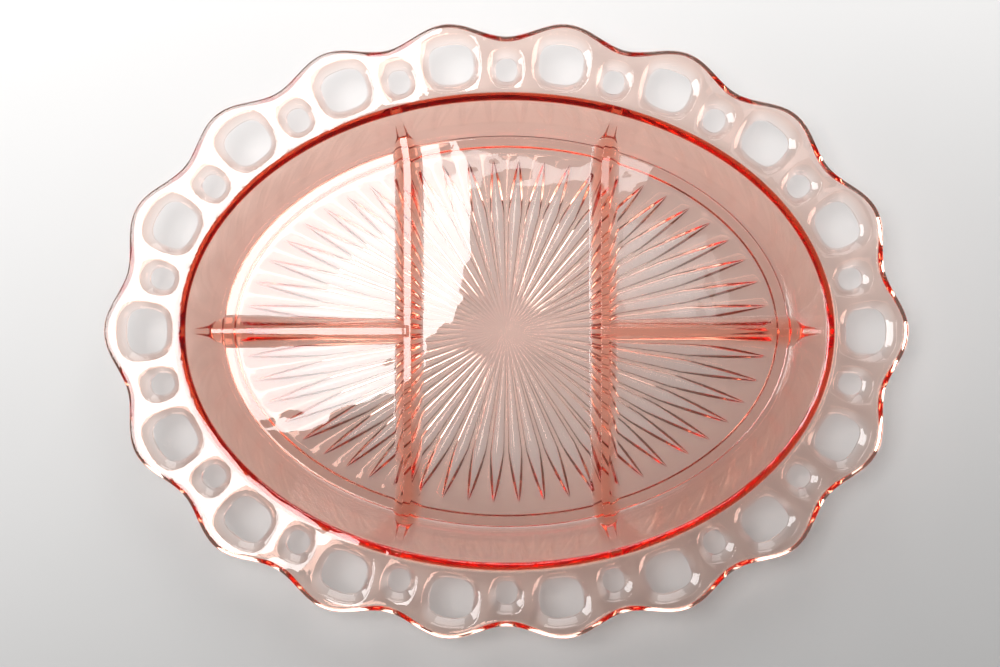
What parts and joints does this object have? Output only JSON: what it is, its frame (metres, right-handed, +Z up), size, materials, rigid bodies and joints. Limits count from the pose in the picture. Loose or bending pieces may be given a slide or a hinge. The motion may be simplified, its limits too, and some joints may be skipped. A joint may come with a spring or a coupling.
{
  "type": "divided glass serving dish",
  "caption": "Shallow oval dish of pink pressed glass: a well split into compartments by low ridges, a rayed base on a foot ring, and a wide scalloped rim pierced like lace.",
  "frame": {"origin": "on the resting plane, under the middle of the dish", "axes": "+X along the long side, +Y along the short side, +Z up"},
  "size_m": [0.3234, 0.2474, 0.0299],
  "materials": {
    "pink_glass": "polished"
  },
  "bodies": {
    "root": {"lace_rim": "pink_glass", "well_wall": "pink_glass", "well_floor": "pink_glass", "foot_ring": "pink_glass", "long_divider_left": "pink_glass", "long_divider_right": "pink_glass", "short_divider_left": "pink_glass", "short_divider_right": "pink_glass"}
  },
  "joints": []
}
